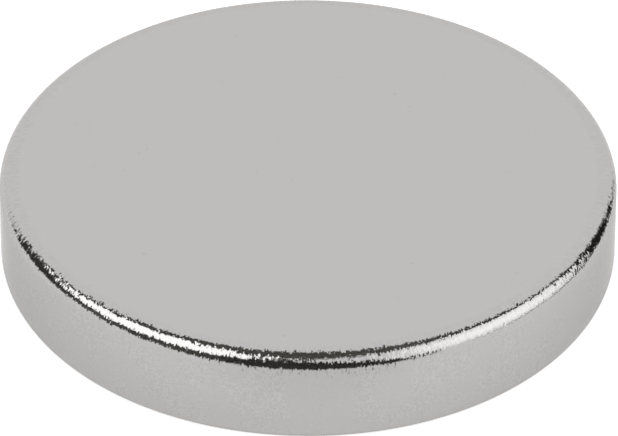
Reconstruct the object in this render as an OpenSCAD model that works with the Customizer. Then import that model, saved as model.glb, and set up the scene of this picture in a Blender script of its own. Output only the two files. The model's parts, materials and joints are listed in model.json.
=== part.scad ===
// Disc magnet: one solid round blank with flat pole faces, a straight rim and a
// rolled edge at both ends, left by tumbling before the plating.
// Millimetres. Origin at the centre of the lower pole face, +Z up the disc's axis.

/* [Disc] */
// Diameter over the plated rim
disc_d = 30; // [12:1:60]
// Thickness between the two pole faces
disc_t = 5; // [3:0.5:20]

/* [Edges] */
// Radius rolled onto the upper edge, between rim and upper pole face
upper_edge_r = 0.75; // [0.2:0.05:1.4]
// Radius rolled onto the lower edge, between rim and lower pole face
lower_edge_r = 0.75; // [0.2:0.05:1.4]

/* [Hidden] */
rim_r = disc_d / 2;
curve_fn = 180;
plating = [0.74, 0.73, 0.71];

// A quarter disc whose two straight sides lie along +X and +Z from its corner.
module quarter_round(r) {
    intersection() {
        circle(r = r, $fn = curve_fn);
        square(r);
    }
}

// One end of the half section: height h of it, with its outer corner rolled to radius r.
// It stands on the X axis and its flat pole face is at the top.
module rolled_end(r, h) {
    square([rim_r - r, h]);
    square([rim_r, h - r]);
    translate([rim_r - r, h - r])
        quarter_round(r);
}

// Half of the disc's section, from the axis out to the rim.
module half_section() {
    half_t = disc_t / 2;
    translate([0, half_t])
        rolled_end(upper_edge_r, half_t);
    translate([0, half_t])
        mirror([0, 1])
            rolled_end(lower_edge_r, half_t);
}

// The magnet itself: the half section turned about the disc's axis.
module disc_magnet() {
    color(plating)
        rotate_extrude($fn = curve_fn)
            half_section();
}

disc_magnet();
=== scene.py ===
import json
import math

import bmesh
import bpy
from bpy.props import FloatProperty, FloatVectorProperty, IntProperty, PointerProperty
from mathutils import Matrix, Vector


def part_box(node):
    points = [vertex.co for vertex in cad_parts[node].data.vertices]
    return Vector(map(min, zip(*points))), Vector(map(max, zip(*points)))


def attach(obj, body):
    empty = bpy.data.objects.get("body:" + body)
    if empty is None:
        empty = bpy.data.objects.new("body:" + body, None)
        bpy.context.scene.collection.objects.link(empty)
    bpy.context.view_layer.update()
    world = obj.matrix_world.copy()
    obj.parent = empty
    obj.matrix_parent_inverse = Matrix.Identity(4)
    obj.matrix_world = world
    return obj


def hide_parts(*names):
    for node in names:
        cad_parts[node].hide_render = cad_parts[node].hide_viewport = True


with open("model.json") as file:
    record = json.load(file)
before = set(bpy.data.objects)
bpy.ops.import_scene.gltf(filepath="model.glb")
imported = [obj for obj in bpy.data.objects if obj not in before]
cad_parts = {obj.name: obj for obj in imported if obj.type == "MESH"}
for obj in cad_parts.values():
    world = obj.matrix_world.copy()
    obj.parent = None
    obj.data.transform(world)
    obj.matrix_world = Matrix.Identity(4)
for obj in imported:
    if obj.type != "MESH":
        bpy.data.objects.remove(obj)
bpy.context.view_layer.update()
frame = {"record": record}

bl_info = {
    "name": "Disc Magnet",
    "version": (1, 0, 0),
    "blender": (4, 5, 0),
    "location": "View3D > Sidebar > Disc Magnet",
    "description": "A nickel-plated disc magnet with rolled edges, and a pale studio to show it in",
    "category": "Object",
}

# ---------------------------------------------------------------- sizes from the frame

DISC_NODE = "disc_magnet"
BODY = "root"

disc_low, disc_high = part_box(DISC_NODE)
rim_mount = next(mount for mount in frame["record"]["mounts"] if mount["name"] == "rim")
DISC_DIAMETER = disc_high.x - disc_low.x
DISC_THICKNESS = disc_high.z - disc_low.z
EDGE_RADIUS = (DISC_THICKNESS - rim_mount["dims"]["length_mm"] / 1000) / 2


class DiscSizes(bpy.types.PropertyGroup):
    """Sizes of the magnet and how finely its surface is divided."""

    diameter: FloatProperty(
        name="Diameter", description="Across the plated rim",
        default=DISC_DIAMETER, min=0.001, subtype="DISTANCE", unit="LENGTH",
    )
    thickness: FloatProperty(
        name="Thickness", description="Between the two pole faces",
        default=DISC_THICKNESS, min=0.001, subtype="DISTANCE", unit="LENGTH",
    )
    edge_radius: FloatProperty(
        name="Edge Radius", description="Radius rolled onto both edges of the rim",
        default=EDGE_RADIUS, min=0.0001, subtype="DISTANCE", unit="LENGTH",
    )
    rim_steps: IntProperty(
        name="Rim Steps", description="Faces round the rim", default=288, min=32,
    )
    edge_steps: IntProperty(
        name="Edge Steps", description="Faces across each rolled edge", default=20, min=4,
    )
    face_rings: IntProperty(
        name="Face Rings", description="Rings of faces on each pole face", default=8, min=2,
    )


class PlatingLook(bpy.types.PropertyGroup):
    """Colour and texture of the nickel plating."""

    colour: FloatVectorProperty(
        name="Colour", description="Bright nickel, slightly warm",
        default=(0.612, 0.598, 0.590), min=0.0, max=1.0, subtype="COLOR",
    )
    dull_colour: FloatVectorProperty(
        name="Dull Colour", description="The same nickel where it is slightly clouded",
        default=(0.548, 0.535, 0.526), min=0.0, max=1.0, subtype="COLOR",
    )
    # Pinholes have no hollow: this darker nickel is the painted shade at the bottom of each pit.
    pit_shade_colour: FloatVectorProperty(
        name="Pit Shade Colour", description="Bottom of a pinhole in the plating",
        default=(0.540, 0.527, 0.519), min=0.0, max=1.0, subtype="COLOR",
    )
    glancing_level: FloatProperty(
        name="Glancing Level", description="Tint of the reflection near grazing angles",
        default=0.85, min=0.0, max=1.0, subtype="FACTOR",
    )
    roughness: FloatProperty(
        name="Roughness", description="Haze of the plating",
        default=0.10, min=0.0, max=1.0, subtype="FACTOR",
    )
    stroke_width: FloatProperty(
        name="Stroke Width", description="Width of one stroke in the plating of the rolled edges",
        default=0.000068, min=0.00001, subtype="DISTANCE", unit="LENGTH",
    )
    stroke_stretch: FloatProperty(
        name="Stroke Stretch", description="Width of a stroke as a share of its length",
        default=0.32, min=0.1, max=1.0, subtype="FACTOR",
    )
    stroke_waviness: FloatProperty(
        name="Stroke Waviness", description="How far strokes sway from straight, in stroke widths",
        default=1.6, min=0.0, max=10.0,
    )
    edge_tilt: FloatProperty(
        name="Edge Tilt",
        description="Most that a stroke leans up or down on a rolled edge, as a slope",
        default=0.12, min=0.0, max=1.0,
    )
    shoulder_tilt: FloatProperty(
        name="Shoulder Tilt",
        description="Most that a stroke leans up or down where the edge meets a pole face, as a slope",
        default=0.17, min=0.0, max=1.0,
    )
    side_tilt: FloatProperty(
        name="Side Tilt", description="Most that a stroke leans round the rim, as a slope",
        default=0.09, min=0.0, max=1.0,
    )
    grain_size: FloatProperty(
        name="Grain Size", description="Size of the fine grain all over the plating",
        default=0.00012, min=0.00001, subtype="DISTANCE", unit="LENGTH",
    )
    patch_size: FloatProperty(
        name="Patch Size", description="Size of the patches where the rim's grain is strong or faint",
        default=0.0018, min=0.0001, subtype="DISTANCE", unit="LENGTH",
    )
    grain_depth: FloatProperty(
        name="Grain Depth", description="Height of the fine grain",
        default=0.000004, min=0.0, subtype="DISTANCE", unit="LENGTH",
    )
    pit_density: FloatProperty(
        name="Pit Density", description="Cells along a metre, with one pinhole at most in each",
        default=2800.0, min=1.0,
    )
    pit_radius: FloatProperty(
        name="Pit Radius", description="Radius of the largest pinhole, as a share of its cell",
        default=0.18, min=0.0, max=0.5, subtype="FACTOR",
    )


class StudioLook(bpy.types.PropertyGroup):
    """Camera, floor and light."""

    camera_elevation: FloatProperty(
        name="Camera Elevation", description="Angle of the camera above the floor",
        default=math.radians(36.451), subtype="ANGLE", unit="ROTATION",
    )
    camera_distance: FloatProperty(
        name="Camera Distance", description="From the camera to the middle of the disc",
        default=0.375, min=0.05, subtype="DISTANCE", unit="LENGTH",
    )
    camera_roll: FloatProperty(
        name="Camera Roll", description="Turn of the camera about its own axis",
        default=math.radians(0.167), subtype="ANGLE", unit="ROTATION",
    )
    lens: FloatProperty(
        name="Lens", description="Focal length, in millimetres, on a 36 mm wide sensor",
        default=447.8, min=10.0, subtype="DISTANCE_CAMERA", unit="CAMERA",
    )
    floor_size: FloatProperty(
        name="Floor Size", description="Side of the square floor",
        default=8.0, min=0.5, subtype="DISTANCE", unit="LENGTH",
    )
    room_level: FloatProperty(
        name="Room Level", description="Light from the unlit room",
        default=0.038, min=0.0,
    )
    wall_level: FloatProperty(
        name="Wall Level", description="Light from the dim wall in front, on the left",
        default=0.09, min=0.0,
    )
    corner_level: FloatProperty(
        name="Corner Level", description="Light from the dark corner behind, on the right",
        default=0.018, min=0.0,
    )
    ceiling_level: FloatProperty(
        name="Ceiling Level", description="Light from the ceiling",
        default=0.084, min=0.0,
    )
    gap_level: FloatProperty(
        name="Gap Level", description="Light from the patch above the gap between the two panels",
        default=0.46, min=0.0,
    )
    room_tint: FloatVectorProperty(
        name="Room Tint", description="Warm tint of the unlit room",
        default=(1.0, 0.955, 0.865), min=0.0, max=1.0, subtype="COLOR",
    )
    backdrop_level: FloatProperty(
        name="Backdrop Level", description="Light from the pale backdrop",
        default=0.857, min=0.0,
    )
    left_level: FloatProperty(
        name="Left Panel Level", description="Light from the panel on the left",
        default=1.68, min=0.0,
    )
    right_level: FloatProperty(
        name="Right Panel Level", description="Light from the panel on the right",
        default=0.87, min=0.0,
    )
    right_core_level: FloatProperty(
        name="Right Panel Core Level", description="Light from the middle of the right panel",
        default=1.50, min=0.0,
    )


# ---------------------------------------------------------------- node helpers

def empty_tree(owner):
    """Gives a material or a world an empty node tree, and returns the tree."""
    owner.use_nodes = True
    owner.node_tree.nodes.clear()
    return owner.node_tree


def new_node(tree, kind, inputs=None, **settings):
    """Adds one node, sets its fields, and sets or links its inputs."""
    node = tree.nodes.new(kind)
    for field, value in settings.items():
        setattr(node, field, value)
    for key, value in (inputs or {}).items():
        if isinstance(value, bpy.types.NodeSocket):
            tree.links.new(value, node.inputs[key])
        else:
            node.inputs[key].default_value = value
    return node


def math_node(tree, operation, first, second=None, third=None):
    """Adds a Math node and returns its output."""
    values = {0: first, 1: second, 2: third}
    given = {key: value for key, value in values.items() if value is not None}
    return new_node(tree, "ShaderNodeMath", given, operation=operation).outputs[0]


def vector_math(tree, operation, first, second=None, scale=None):
    """Adds a Vector Math node and returns its output."""
    values = {0: first, 1: second, "Scale": scale}
    given = {key: value for key, value in values.items() if value is not None}
    node = new_node(tree, "ShaderNodeVectorMath", given, operation=operation)
    return node.outputs["Value" if operation == "LENGTH" else "Vector"]


def ramp_node(tree, value, start, end, low=0.0, high=1.0, kind="SMOOTHSTEP"):
    """Ramps value from low at start to high at end, and holds it beyond them."""
    inputs = {"Value": value, "From Min": start, "From Max": end, "To Min": low, "To Max": high}
    return new_node(tree, "ShaderNodeMapRange", inputs, interpolation_type=kind).outputs["Result"]


def blend_node(tree, factor, first, second):
    """Mixes two values by factor."""
    node = new_node(tree, "ShaderNodeMix", {0: factor, 2: first, 3: second}, data_type="FLOAT")
    return node.outputs[0]


def blend_colours(tree, factor, first, second):
    """Mixes two colours by factor."""
    node = new_node(tree, "ShaderNodeMix", {0: factor, 6: first, 7: second}, data_type="RGBA")
    return node.outputs[2]


def noise_node(tree, place, scale, output="Fac", detail=1.0):
    """Adds smooth noise over a place, and returns the named output."""
    inputs = {"Vector": place, "Scale": scale, "Detail": detail}
    return new_node(tree, "ShaderNodeTexNoise", inputs, noise_dimensions="3D").outputs[output]


def cell_nodes(tree, place, scale):
    """Divides a place into cells, and returns the distance to a cell's point and its random values."""
    cells = new_node(tree, "ShaderNodeTexVoronoi", {"Vector": place, "Scale": scale}, feature="F1")
    chance = new_node(tree, "ShaderNodeSeparateColor", {0: cells.outputs["Color"]})
    return cells.outputs["Distance"], chance.outputs


def join_xyz(tree, x, y, z):
    """Makes a vector of three values."""
    return new_node(tree, "ShaderNodeCombineXYZ", {"X": x, "Y": y, "Z": z}).outputs[0]


def split_about_axis(tree, place):
    """Returns a place's height, its vector out from the disc's axis, and the length of that."""
    split = new_node(tree, "ShaderNodeSeparateXYZ", {0: place})
    out = join_xyz(tree, split.outputs["X"], split.outputs["Y"], 0.0)
    return split.outputs["Z"], out, vector_math(tree, "LENGTH", out)


def ray_kinds(tree):
    """Returns whether the camera looks straight at a point, and whether the point is mirrored."""
    rays = tree.nodes.new("ShaderNodeLightPath").outputs
    seen = math_node(tree, "MAXIMUM", rays["Is Camera Ray"], rays["Is Transmission Ray"])
    return seen, rays["Is Glossy Ray"]


def new_group(name, inputs, outputs):
    """Starts a shader node group, and returns it with its end nodes."""
    group = bpy.data.node_groups.new(name, "ShaderNodeTree")
    for socket_name, value in inputs.items():
        kind = "NodeSocketVector" if value is None else "NodeSocketFloat"
        socket = group.interface.new_socket(socket_name, in_out="INPUT", socket_type=kind)
        if value is not None:
            socket.default_value = value
    for socket_name in outputs:
        group.interface.new_socket(socket_name, in_out="OUTPUT", socket_type="NodeSocketFloat")
    return group, group.nodes.new("NodeGroupInput"), group.nodes.new("NodeGroupOutput")


# ---------------------------------------------------------------- plating

# Scale of the noise that sways the strokes, in bends to a stroke's width.
SWAY_SCALE = 0.4
# Shares of their full lean that strokes keep on the middle of a pole face and of the rim's wall.
POLE_LEAN = 0.15
WALL_LEAN = 0.08
# Shares of the turn from wall to pole face between which the lean grows from edge to shoulder.
SHOULDER_TURN = (0.5, 0.9)
# Shares of the turn between which the rim's clouding gives way to the tone of the strokes.
POLE_TURN = (0.2, 0.8)
# Shares of their full tone that strokes show on the middle of a pole face and beside its rim.
POLE_TONE = 0.10
SHOULDER_TONE = 0.6
# Values of the grain that read as clear and as fully clouded plating.
CLOUD_RANGE = (0.37, 0.63)
# Values of the noise in a faint and a strong patch, and how much a faint one shows of its grain.
PATCH_RANGE = (0.40, 0.60)
FAINT_PATCH = 0.25
# Even clouding that shows where the grain doesn't.
EVEN_CLOUD = 0.5
# Share of the cells that hold no pinhole.
UNPITTED = 0.2


def stroke_group():
    """Short strokes that run up the rim and in over the pole faces, each with its own random values."""
    group, given, result = new_group(
        "Plating Strokes",
        {"Position": None, "Rim Radius": 0.015, "Width": 0.0001, "Stretch": 0.5, "Waviness": 0.5},
        ("Climb", "Turn", "Shade"),
    )
    height, out, reach = split_about_axis(group, given.outputs["Position"])
    outward = vector_math(group, "NORMALIZE", out)
    round_rim = vector_math(group, "SCALE", outward, scale=given.outputs["Rim Radius"])
    along = math_node(group, "SUBTRACT", height, reach)
    along = math_node(group, "MULTIPLY", along, given.outputs["Stretch"])
    place = vector_math(group, "ADD", round_rim, join_xyz(group, 0.0, 0.0, along))
    strokes_per_metre = math_node(group, "DIVIDE", 1.0, given.outputs["Width"])
    place = vector_math(group, "SCALE", place, scale=strokes_per_metre)
    sway = noise_node(group, place, SWAY_SCALE, output="Color")
    sway = vector_math(group, "SUBTRACT", sway, (0.5, 0.5, 0.5))
    sway = vector_math(group, "SCALE", sway, scale=given.outputs["Waviness"])
    _, chance = cell_nodes(group, vector_math(group, "ADD", place, sway), 1.0)

    lean = math_node(group, "MULTIPLY_ADD", chance["Red"], 2.0, -1.0)
    # The cube keeps most strokes near the surface and lets a few lean far out of it.
    climb = math_node(group, "MULTIPLY", lean, math_node(group, "MULTIPLY", lean, lean))
    turn = math_node(group, "MULTIPLY_ADD", chance["Green"], 2.0, -1.0)
    for name, value in (("Climb", climb), ("Turn", turn), ("Shade", chance["Blue"])):
        group.links.new(value, result.inputs[name])
    return group


def edge_share(tree, height, reach, sizes):
    """Share of their full lean that strokes have: all of it on the rolled edges, less past them."""
    pole_radius = sizes.diameter / 2 - sizes.edge_radius
    half_wall = sizes.thickness / 2 - sizes.edge_radius
    on_pole = ramp_node(tree, reach, pole_radius - sizes.edge_radius, pole_radius, POLE_LEAN, 1.0)
    off_middle = math_node(tree, "SUBTRACT", height, sizes.thickness / 2)
    off_middle = math_node(tree, "ABSOLUTE", off_middle)
    on_wall = ramp_node(tree, off_middle, half_wall - sizes.edge_radius, half_wall, WALL_LEAN, 1.0)
    return math_node(tree, "MULTIPLY", on_pole, on_wall)


def leaning_normal(tree, normal, out, climb, turn):
    """Leans the normal by one slope along the profile and one round the rim, in world directions."""
    outward = vector_math(tree, "NORMALIZE", out)
    round_way = vector_math(tree, "CROSS_PRODUCT", (0.0, 0.0, 1.0), outward)
    up_way = vector_math(tree, "CROSS_PRODUCT", normal, round_way)
    leaning = vector_math(tree, "ADD", normal, vector_math(tree, "SCALE", up_way, scale=climb))
    leaning = vector_math(tree, "ADD", leaning, vector_math(tree, "SCALE", round_way, scale=turn))
    leaning = vector_math(tree, "NORMALIZE", leaning)
    return new_node(
        tree, "ShaderNodeVectorTransform", {0: leaning},
        vector_type="NORMAL", convert_from="OBJECT", convert_to="WORLD",
    ).outputs[0]


def rim_clouding(tree, place, grain, look):
    """Clouding of the rim: that of its grain in strong patches, and nearly even in faint ones."""
    clouded = ramp_node(tree, grain, *CLOUD_RANGE, kind="LINEAR")
    patches = noise_node(tree, place, 1 / look.patch_size)
    patchy = ramp_node(tree, patches, *PATCH_RANGE, FAINT_PATCH, 1.0)
    return blend_node(tree, patchy, EVEN_CLOUD, clouded)


def pinhole_shade(tree, place, look):
    """Scattered pinholes of many sizes, as a mask of painted shade: a deeper pit is painted darker,
    with no hollow in the surface.
    """
    distance, chance = cell_nodes(tree, place, look.pit_density)
    radius = ramp_node(tree, chance["Red"], UNPITTED, 1.0, 0.0, look.pit_radius, kind="LINEAR")
    pit = math_node(tree, "LESS_THAN", distance, radius)
    # The square leaves the painted shade of most pinholes faint and of a few dark.
    return math_node(tree, "MULTIPLY", pit, math_node(tree, "POWER", chance["Green"], 2.0))


def plating_material(sizes, look):
    """Bright nickel: stroked at the rolled edges, clouded on the rim, rippled all over, and pitted with
    painted shade.
    """
    material = bpy.data.materials.new("nickel_plating")
    tree = empty_tree(material)
    output = tree.nodes.new("ShaderNodeOutputMaterial")
    glancing = look.glancing_level
    shader = new_node(
        tree, "ShaderNodeBsdfPrincipled",
        {
            "Metallic": 1.0, "Roughness": look.roughness,
            "Specular Tint": (glancing, glancing, glancing, 1.0),
        },
    )
    tree.links.new(shader.outputs[0], output.inputs["Surface"])

    from_object = tree.nodes.new("ShaderNodeTexCoord")
    place = from_object.outputs["Object"]
    normal = from_object.outputs["Normal"]
    height, out, reach = split_about_axis(tree, place)
    grain = noise_node(tree, place, 1 / look.grain_size)
    strokes = new_node(
        tree, "ShaderNodeGroup",
        {
            "Position": place, "Rim Radius": sizes.diameter / 2, "Width": look.stroke_width,
            "Stretch": look.stroke_stretch, "Waviness": look.stroke_waviness,
        },
        node_tree=stroke_group(),
    )
    # How far the surface has turned from the rim's wall, 0, to a pole face, 1.
    rise = new_node(tree, "ShaderNodeSeparateXYZ", {0: normal}).outputs["Z"]
    turned = math_node(tree, "ARCSINE", math_node(tree, "ABSOLUTE", rise))
    turned = math_node(tree, "DIVIDE", turned, math.pi / 2)

    near_edge = edge_share(tree, height, reach, sizes)
    climb = ramp_node(tree, turned, *SHOULDER_TURN, look.edge_tilt, look.shoulder_tilt)
    climb = math_node(tree, "MULTIPLY", climb, near_edge)
    climb = math_node(tree, "MULTIPLY", climb, strokes.outputs["Climb"])
    turn = math_node(tree, "MULTIPLY", near_edge, look.side_tilt)
    turn = math_node(tree, "MULTIPLY", turn, strokes.outputs["Turn"])
    leaning = leaning_normal(tree, normal, out, climb, turn)
    bump = new_node(
        tree, "ShaderNodeBump",
        {"Strength": 1.0, "Distance": look.grain_depth, "Height": grain, "Normal": leaning},
    )
    tree.links.new(bump.outputs[0], shader.inputs["Normal"])

    # The strokes differ in tone on a pole face, most of all beside its rim.
    on_pole = ramp_node(tree, turned, *POLE_TURN)
    shade = blend_node(tree, on_pole, rim_clouding(tree, place, grain, look), strokes.outputs["Shade"])
    pole_radius = sizes.diameter / 2 - sizes.edge_radius
    beside_rim = ramp_node(
        tree, reach, pole_radius - sizes.edge_radius / 2, pole_radius, POLE_TONE, SHOULDER_TONE,
    )
    shade = math_node(tree, "MULTIPLY", shade, blend_node(tree, on_pole, 1.0, beside_rim))
    colour = blend_colours(tree, shade, (*look.colour, 1.0), (*look.dull_colour, 1.0))
    # Pinholes are painted shade: spots of darker nickel, with no pits in the surface.
    colour = blend_colours(tree, pinhole_shade(tree, place, look), colour, (*look.pit_shade_colour, 1.0))
    tree.links.new(colour, shader.inputs["Base Color"])
    return material


# ---------------------------------------------------------------- magnet

# Heights closer than this, in metres, are the same.
SAME_HEIGHT = 1e-9


def disc_mesh(sizes):
    """Raises a round blank from a circle, rolls both edges and rings the pole faces."""
    mesh = bpy.data.meshes.new("plated_disc")
    shape = bmesh.new()
    radius = sizes.diameter / 2
    bmesh.ops.create_circle(shape, cap_ends=True, segments=sizes.rim_steps, radius=radius)
    raised = bmesh.ops.extrude_face_region(shape, geom=shape.faces[:])
    top = [v for v in raised["geom"] if isinstance(v, bmesh.types.BMVert)]
    bmesh.ops.translate(shape, verts=top, vec=(0, 0, sizes.thickness))
    corners = [e for e in shape.edges if abs(e.verts[0].co.z - e.verts[1].co.z) < SAME_HEIGHT]
    bmesh.ops.bevel(
        shape, geom=corners, offset=sizes.edge_radius, offset_type="OFFSET", affect="EDGES",
        segments=sizes.edge_steps, profile=0.5, material=-1, clamp_overlap=True,
    )
    # The narrow first ring keeps the shading of each pole face flat right up to its rolled edge.
    first_ring = sizes.edge_radius / sizes.edge_steps
    ring = (radius - sizes.edge_radius) / sizes.face_rings
    caps = [f for f in shape.faces if len(f.verts) == sizes.rim_steps]
    for width in [first_ring] + [ring] * (sizes.face_rings - 1):
        bmesh.ops.inset_region(shape, faces=caps, thickness=width, use_even_offset=True)
    bmesh.ops.poke(shape, faces=caps)
    bmesh.ops.recalc_face_normals(shape, faces=shape.faces[:])
    for face in shape.faces:
        face.smooth = True
    shape.to_mesh(mesh)
    shape.free()
    return mesh


class DISCMAGNET_OT_disc(bpy.types.Operator):
    """Make the plated disc in place of its plain construction solid"""

    bl_idname = "disc_magnet.make_disc"
    bl_label = "Plated Disc"

    def execute(self, context):
        sizes = context.scene.disc_sizes
        disc = bpy.data.objects.new("plated_disc", disc_mesh(sizes))
        context.scene.collection.objects.link(disc)
        disc.data.materials.append(plating_material(sizes, context.scene.plating_look))
        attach(disc, BODY)
        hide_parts(DISC_NODE)
        return {"FINISHED"}


# ---------------------------------------------------------------- studio

# Directions round the disc, in degrees: azimuth from the front towards the right, elevation from the
# floor upwards. A panel's left and right edges are measured from its middle and lean by degrees of
# azimuth for each degree of elevation, and its top edge falls off to both sides as an arch. NO_EDGE
# puts an edge past every direction.
NO_EDGE = 400.0
DIM_WALL = {
    "Middle": -66.0, "Left": -35.0, "Right": 36.0, "Bottom": -NO_EDGE, "Top": 16.0, "Softness": 12.0,
}
DARK_CORNER = {
    "Middle": 124.0, "Left": -18.0, "Right": 18.0, "Bottom": -NO_EDGE, "Top": 50.0, "Softness": 10.0,
}
CEILING = {"Left": -NO_EDGE, "Right": NO_EDGE, "Bottom": 64.0, "Top": NO_EDGE, "Softness": 20.0}
GAP_PATCH = {
    "Middle": 6.0, "Left": -13.0, "Right": 20.0, "Bottom": 40.0, "Top": 58.0, "Softness": 10.0,
}
BACKDROP = {
    "Middle": 165.0, "Left": -28.0, "Left Lean": -0.325, "Right": 74.0, "Right Lean": -0.20,
    "Bottom": -NO_EDGE, "Top": 71.0, "Arch": 0.0039,
}
LEFT_PANEL = {
    "Middle": -59.0, "Left": -9.5, "Left Lean": -1.05, "Right": 24.0, "Right Lean": 0.35,
    "Bottom": 23.0, "Top": 67.4, "Arch": 0.0060,
}
RIGHT_PANEL = {
    "Middle": 55.0, "Left": -20.0, "Left Lean": -0.90, "Right": 53.0, "Right Lean": 0.10,
    "Bottom": -8.5, "Top": 63.3, "Arch": 0.0072,
}
RIGHT_CORE = {
    "Middle": 71.0, "Left": -34.0, "Right": 34.0, "Bottom": 0.0, "Top": 51.0, "Softness": 40.0,
}
# Scale and detail of the noise that makes the unlit room uneven.
UNEVEN_SCALE = 7.0
UNEVEN_DETAIL = 2.0
# Values of that noise in the dimmest and brightest places, and their shares of the room's light.
UNEVEN_NOISE = (0.35, 0.65)
UNEVEN_SHARES = (0.5, 1.6)
# Levels of light where the room's tint begins to fade, and where it is gone.
TINT_LEVELS = (0.10, 0.50)


def panel_group():
    """One panel or cloth of the studio, as a mask over the directions round the disc."""
    group, given, result = new_group(
        "Studio Panel",
        {
            "Azimuth": 0.0, "Elevation": 0.0, "Middle": 0.0,
            "Left": -30.0, "Left Lean": 0.0, "Right": 30.0, "Right Lean": 0.0,
            "Bottom": 20.0, "Top": 60.0, "Arch": 0.0, "Softness": 4.0,
        },
        ("Mask",),
    )
    rise = given.outputs["Elevation"]
    across = math_node(group, "SUBTRACT", given.outputs["Azimuth"], given.outputs["Middle"])
    across = math_node(group, "WRAP", across, 180.0, -180.0)
    left = math_node(group, "MULTIPLY_ADD", given.outputs["Left Lean"], rise, given.outputs["Left"])
    right = math_node(group, "MULTIPLY_ADD", given.outputs["Right Lean"], rise, given.outputs["Right"])
    drop = math_node(group, "MULTIPLY", across, across)
    drop = math_node(group, "MULTIPLY", given.outputs["Arch"], drop)
    top = math_node(group, "SUBTRACT", given.outputs["Top"], drop)

    mask = 1.0
    for high, low in ((across, left), (right, across), (rise, given.outputs["Bottom"]), (top, rise)):
        # An edge is half faded where the gap is nothing, and its softness is the width of the fade.
        gap = math_node(group, "SUBTRACT", high, low)
        gap = math_node(group, "DIVIDE", gap, given.outputs["Softness"])
        mask = math_node(group, "MULTIPLY", mask, ramp_node(group, gap, -0.5, 0.5))
    group.links.new(mask, result.inputs["Mask"])
    return group


def studio_world(look):
    """Surrounds the floor with a dim room, a pale backdrop and two light panels."""
    world = bpy.data.worlds.new("studio")
    tree = empty_tree(world)
    way = tree.nodes.new("ShaderNodeTexCoord").outputs["Generated"]
    split = new_node(tree, "ShaderNodeSeparateXYZ", {0: way})
    frontward = math_node(tree, "MULTIPLY", split.outputs["Y"], -1.0)
    azimuth = math_node(tree, "DEGREES", math_node(tree, "ARCTAN2", split.outputs["X"], frontward))
    elevation = math_node(tree, "DEGREES", math_node(tree, "ARCSINE", split.outputs["Z"]))
    group = panel_group()

    def panel(behind, level, shape):
        """Sets a panel of one level of light in front of what is behind it."""
        inputs = {"Azimuth": azimuth, "Elevation": elevation, **shape}
        node = new_node(tree, "ShaderNodeGroup", inputs, node_tree=group)
        return blend_node(tree, node.outputs["Mask"], behind, level)

    level = panel(look.room_level, look.wall_level, DIM_WALL)
    level = panel(level, look.corner_level, DARK_CORNER)
    level = panel(level, look.ceiling_level, CEILING)
    uneven = noise_node(tree, way, UNEVEN_SCALE, detail=UNEVEN_DETAIL)
    level = math_node(tree, "MULTIPLY", level, ramp_node(tree, uneven, *UNEVEN_NOISE, *UNEVEN_SHARES))
    level = panel(level, look.gap_level, GAP_PATCH)
    level = panel(level, look.backdrop_level, BACKDROP)
    level = panel(level, look.left_level, LEFT_PANEL)
    right_level = panel(look.right_level, look.right_core_level, RIGHT_CORE)
    level = panel(level, right_level, RIGHT_PANEL)

    # Seen directly, the room is plain white.
    seen, _ = ray_kinds(tree)
    level = blend_node(tree, seen, level, 1.0)
    lit = ramp_node(tree, level, *TINT_LEVELS)
    colour = blend_colours(tree, lit, (*look.room_tint, 1.0), (1.0, 1.0, 1.0, 1.0))
    background = new_node(tree, "ShaderNodeBackground", {"Color": colour, "Strength": level})
    output = tree.nodes.new("ShaderNodeOutputWorld")
    tree.links.new(background.outputs[0], output.inputs["Surface"])
    return world


# The sheet's colour, and the light that it adds where it is seen and where it is mirrored.
SHEET_COLOUR = (0.8, 0.8, 0.8, 1.0)
SHEET_GLOW_SEEN = 0.70
SHEET_GLOW_MIRRORED = 0.332
# A dimmer strip runs from just before the magnet to the sheet's front edge. It fades in from near to
# far, is full and then gone at its two half widths, and its depth is the mirrored light that it lacks.
DIM_STRIP_NEAR = -0.0172
DIM_STRIP_FAR = -0.0202
DIM_STRIP_HALF_WIDTH = (0.0045, 0.0130)
DIM_STRIP_DEPTH = 0.062
# The sheet's front edge, which slopes, and from a corner on the right runs steeply forwards.
SHEET_FRONT = -0.0243
SHEET_FRONT_SLOPE = 0.11
FRONT_CORNER = (0.0138, -0.0239)
FRONT_CORNER_SLOPE = -1.15
# The sheet's right edge, and how wide the fade is along every edge.
SHEET_RIGHT = 0.0316
SHEET_FADE = 0.0080


def sheet_glow(tree, place, seen, mirrored):
    """Light that the sheet adds, with a little less of it where the dim strip is mirrored."""
    aside = math_node(tree, "ABSOLUTE", place["X"])
    dim = math_node(
        tree, "MULTIPLY",
        ramp_node(tree, place["Y"], DIM_STRIP_FAR, DIM_STRIP_NEAR, DIM_STRIP_DEPTH, 0.0),
        ramp_node(tree, aside, *DIM_STRIP_HALF_WIDTH, 1.0, 0.0),
    )
    glow_mirrored = math_node(tree, "SUBTRACT", SHEET_GLOW_MIRRORED, dim)
    glow = math_node(tree, "MULTIPLY", seen, SHEET_GLOW_SEEN)
    return math_node(tree, "MULTIPLY_ADD", mirrored, glow_mirrored, glow)


def past_line(tree, place, slope, start):
    """Mask of the floor behind a sloping line that crosses x = 0 at y = start."""
    crossing = math_node(tree, "MULTIPLY_ADD", place["X"], -slope, place["Y"])
    return ramp_node(tree, crossing, start - SHEET_FADE / 2, start + SHEET_FADE / 2)


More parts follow.
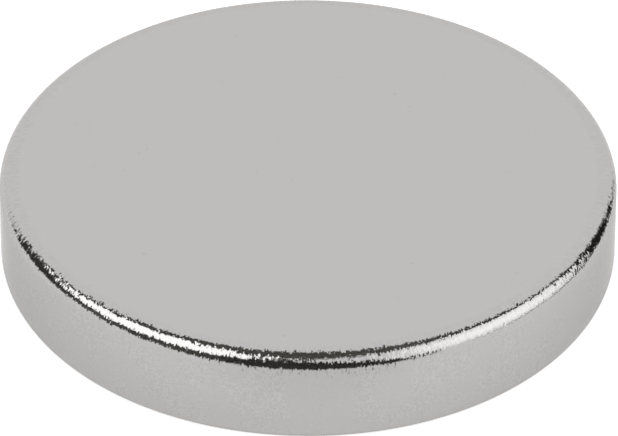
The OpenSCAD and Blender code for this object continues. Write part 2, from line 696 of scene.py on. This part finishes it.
def floor_material():
    """A plain white sheet, which the plating mirrors only as far as the sheet's edges."""
    material = bpy.data.materials.new("floor_white")
    tree = empty_tree(material)
    output = tree.nodes.new("ShaderNodeOutputMaterial")
    from_object = tree.nodes.new("ShaderNodeTexCoord").outputs["Object"]
    place = new_node(tree, "ShaderNodeSeparateXYZ", {0: from_object}).outputs
    seen, mirrored = ray_kinds(tree)
    lit = new_node(tree, "ShaderNodeBsdfDiffuse", {"Color": SHEET_COLOUR})
    glow = new_node(tree, "ShaderNodeEmission", {"Strength": sheet_glow(tree, place, seen, mirrored)})
    sheet = new_node(tree, "ShaderNodeAddShader", {0: lit.outputs[0], 1: glow.outputs[0]})

    corner_x, corner_y = FRONT_CORNER
    front = past_line(tree, place, SHEET_FRONT_SLOPE, SHEET_FRONT)
    right = past_line(tree, place, FRONT_CORNER_SLOPE, corner_y - FRONT_CORNER_SLOPE * corner_x)
    side = ramp_node(tree, place["X"], SHEET_RIGHT + SHEET_FADE / 2, SHEET_RIGHT - SHEET_FADE / 2)
    on_sheet = math_node(tree, "MULTIPLY", math_node(tree, "MAXIMUM", front, right), side)
    beyond = math_node(tree, "SUBTRACT", 1.0, on_sheet)
    hidden = math_node(tree, "MULTIPLY", beyond, mirrored)
    clear = tree.nodes.new("ShaderNodeBsdfTransparent")
    surface = new_node(
        tree, "ShaderNodeMixShader", {0: hidden, 1: sheet.outputs[0], 2: clear.outputs[0]},
    )
    tree.links.new(surface.outputs[0], output.inputs["Surface"])
    return material


def floor_mesh(size):
    """A flat square, face up."""
    mesh = bpy.data.meshes.new("floor")
    shape = bmesh.new()
    bmesh.ops.create_grid(shape, x_segments=1, y_segments=1, size=size / 2)
    shape.to_mesh(mesh)
    shape.free()
    return mesh


# Width of the view, and how far the disc's middle stands left of and above the view's, in pixels.
VIEW_WIDTH = 618
DISC_LEFT_OF_MIDDLE = 1.0
DISC_ABOVE_MIDDLE = 6.03
# Width of the sensor, in millimetres, and the nearest and farthest that the camera sees.
SENSOR_WIDTH = 36.0
CLIP_START = 0.01
CLIP_END = 20.0


def studio_camera(look, target):
    """Looks down at the disc from the front, with the disc a little off the view's middle."""
    data = bpy.data.cameras.new("camera")
    data.sensor_width = SENSOR_WIDTH
    data.lens = look.lens
    data.clip_start = CLIP_START
    data.clip_end = CLIP_END
    camera = bpy.data.objects.new("camera", data)
    rise = look.camera_elevation
    back = Vector((0.0, -math.cos(rise), math.sin(rise)))
    facing = back.to_track_quat("Z", "Y").to_matrix()
    pixel = look.camera_distance * data.sensor_width / data.lens / VIEW_WIDTH
    aim = target + facing @ Vector((DISC_LEFT_OF_MIDDLE * pixel, -DISC_ABOVE_MIDDLE * pixel, 0.0))
    camera.location = target + back * look.camera_distance
    facing = (camera.location - aim).to_track_quat("Z", "Y").to_matrix()
    camera.rotation_euler = (facing @ Matrix.Rotation(look.camera_roll, 3, "Z")).to_euler()
    return camera


class DISCMAGNET_OT_stage(bpy.types.Operator):
    """Make the pale floor, the studio light and the camera"""

    bl_idname = "disc_magnet.make_stage"
    bl_label = "Studio"

    def execute(self, context):
        scene = context.scene
        look = scene.studio_look
        floor = bpy.data.objects.new("floor", floor_mesh(look.floor_size))
        scene.collection.objects.link(floor)
        floor.data.materials.append(floor_material())
        scene.world = studio_world(look)
        camera = studio_camera(look, Vector((0.0, 0.0, scene.disc_sizes.thickness / 2)))
        scene.collection.objects.link(camera)
        scene.camera = camera
        scene.view_settings.view_transform = "Standard"
        return {"FINISHED"}


# ---------------------------------------------------------------- panel and run

class DISCMAGNET_PT_panel(bpy.types.Panel):
    """Steps that make the disc magnet and its studio"""

    bl_label = "Disc Magnet"
    bl_idname = "DISCMAGNET_PT_panel"
    bl_space_type = "VIEW_3D"
    bl_region_type = "UI"
    bl_category = "Disc Magnet"

    def draw(self, context):
        for operator in OPERATORS:
            self.layout.operator(operator.bl_idname)


OPERATORS = (DISCMAGNET_OT_disc, DISCMAGNET_OT_stage)
CLASSES = (DiscSizes, PlatingLook, StudioLook, *OPERATORS, DISCMAGNET_PT_panel)


def register():
    """Adds the classes and the scene's settings."""
    for item in CLASSES:
        bpy.utils.register_class(item)
    bpy.types.Scene.disc_sizes = PointerProperty(type=DiscSizes)
    bpy.types.Scene.plating_look = PointerProperty(type=PlatingLook)
    bpy.types.Scene.studio_look = PointerProperty(type=StudioLook)


def unregister():
    """Removes the settings and the classes."""
    del bpy.types.Scene.studio_look
    del bpy.types.Scene.plating_look
    del bpy.types.Scene.disc_sizes
    for item in reversed(CLASSES):
        bpy.utils.unregister_class(item)


def main():
    """Makes the magnet and its studio."""
    register()
    bpy.ops.disc_magnet.make_disc()
    bpy.ops.disc_magnet.make_stage()


if __name__ == "__main__":
    main()
